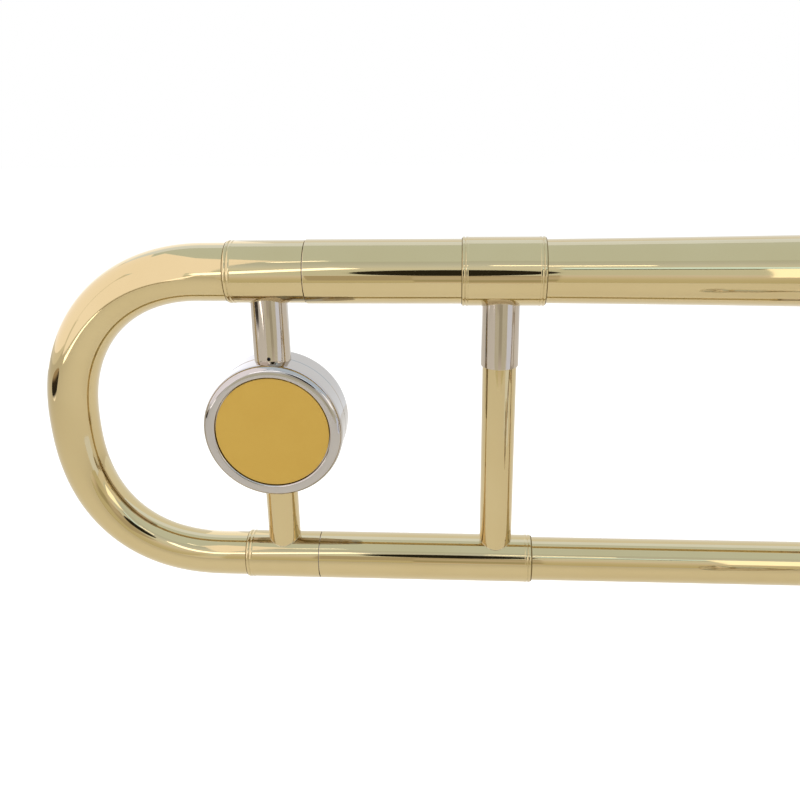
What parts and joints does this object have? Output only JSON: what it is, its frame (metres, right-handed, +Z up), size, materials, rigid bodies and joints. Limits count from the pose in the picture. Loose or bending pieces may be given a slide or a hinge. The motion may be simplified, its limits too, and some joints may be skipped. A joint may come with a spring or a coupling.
{
  "type": "tenor trombone",
  "caption": "Straight tenor trombone with a hand slide, tuning slide with counterweight, water key, slide lock and mouthpiece, in lacquered brass and nickel silver.",
  "frame": {"origin": "on the shared axis of the neckpipe and of the hand slide's bell leg, at the lock nut, where the left hand holds the instrument", "axes": "+X forward along the tubes, to the bell mouth and the slide crook; +Z up, from the neckpipe to the bell; the mouthpiece leg lies on the -Y side"},
  "size_m": [1.1696, 0.206, 0.235],
  "materials": {
    "lacquered_brass": "polished yellow brass under clear lacquer",
    "nickel_silver": "polished nickel silver under clear lacquer",
    "chrome_case": "polished nickel plate",
    "chrome_tube": "polished hard chrome",
    "silver_plate": "polished silver plate",
    "blued_steel": "blued",
    "cast_slug": "as cast, out of sight",
    "gold_inlay": "satin gold lacquer",
    "felt": "dark red felt",
    "cork": "natural cork",
    "rubber": "matt black"
  },
  "bodies": {
    "inner_slide": {"slide_tenon": "nickel_silver", "bell_leg_sleeve": "nickel_silver", "mouth_leg_sleeve": "nickel_silver", "bell_leg_cork_barrel": "nickel_silver", "mouth_leg_cork_barrel": "nickel_silver", "bell_leg_barrel_felt": "felt", "mouth_leg_barrel_felt": "felt", "bell_leg_inner_tube": "chrome_tube", "mouth_leg_inner_tube": "chrome_tube", "mouthpiece_receiver": "nickel_silver", "leadpipe": "lacquered_brass", "inner_brace_tube": "nickel_silver", "inner_brace_bell_socket": "nickel_silver", "inner_brace_mouth_socket": "nickel_silver"},
    "bell_section": {"bell": "lacquered_brass", "bell_rim_wire": "lacquered_brass", "bell_ferrule": "lacquered_brass", "upper_outer_tube": "lacquered_brass", "lower_outer_tube": "lacquered_brass", "neckpipe": "lacquered_brass", "slide_receiver": "nickel_silver", "rear_brace_sleeve": "nickel_silver", "rear_brace_tube": "lacquered_brass", "front_brace_tube": "nickel_silver", "front_brace_bell_flange": "nickel_silver", "front_brace_receiver_flange": "nickel_silver"},
    "tuning_slide": {"tuning_bow": "lacquered_brass", "upper_tuning_ferrule": "lacquered_brass", "lower_tuning_ferrule": "lacquered_brass", "upper_tuning_tube": "nickel_silver", "lower_tuning_tube": "nickel_silver", "weight_upper_post": "nickel_silver", "weight_lower_post": "lacquered_brass", "weight_front_shell": "chrome_case", "weight_rear_shell": "chrome_case", "weight_core": "cast_slug", "weight_front_inlay": "gold_inlay", "weight_rear_inlay": "gold_inlay", "weight_set_screw": "blued_steel"},
    "outer_slide": {"bell_leg_outer_tube": "lacquered_brass", "mouth_leg_outer_tube": "lacquered_brass", "bell_leg_top_ferrule": "nickel_silver", "mouth_leg_top_ferrule": "nickel_silver", "outer_brace_tube": "nickel_silver", "outer_brace_bell_socket": "nickel_silver", "outer_brace_mouth_socket": "nickel_silver", "bell_leg_crook_ferrule": "nickel_silver", "mouth_leg_crook_ferrule": "nickel_silver", "slide_crook": "lacquered_brass", "bumper_holder": "nickel_silver", "rubber_bumper": "rubber", "water_key_nipple": "nickel_silver", "water_key_saddle": "nickel_silver", "water_key_screw": "blued_steel", "water_key_spring": "blued_steel"},
    "water_key": {"water_key_lever": "nickel_silver", "water_key_cork": "cork"},
    "slide_lock": {"slide_lock_ring": "nickel_silver"},
    "lock_nut": {"bell_lock_nut": "nickel_silver"},
    "mouthpiece": {"mouthpiece": "silver_plate"}
  },
  "joints": [
    {"name": "bell_swivel", "type": "hinge", "parent": "inner_slide", "child": "bell_section", "pos_m": [0, 0, 0], "axis": [1, 0, 0], "range_deg": [-90, 12]},
    {"name": "tuning_slide_pull", "type": "slide", "parent": "bell_section", "child": "tuning_slide", "axis": [-1, 0, 0], "range_m": [0, 0.05]},
    {"name": "hand_slide", "type": "slide", "parent": "inner_slide", "child": "outer_slide", "axis": [1, 0, 0], "range_m": [0, 0.6]},
    {"name": "water_key_tip", "type": "hinge", "parent": "outer_slide", "child": "water_key", "pos_m": [0.737, 0.01375, 0], "axis": [0, 0, 1], "range_deg": [0, 12], "stiffness_Nm_per_rad": 0.08, "springref_deg": -28.65},
    {"name": "slide_lock_turn", "type": "hinge", "parent": "inner_slide", "child": "slide_lock", "pos_m": [0.11, -0.085, 0], "axis": [1, 0, 0], "range_deg": [0, 30]},
    {"name": "lock_nut_turn", "type": "hinge", "parent": "inner_slide", "child": "lock_nut", "pos_m": [0, 0, 0], "axis": [1, 0, 0], "range_deg": [0, 360]},
    {"name": "mouthpiece_pull", "type": "slide", "parent": "inner_slide", "child": "mouthpiece", "axis": [-1, 0, 0], "range_m": [0, 0.03]}
  ]
}
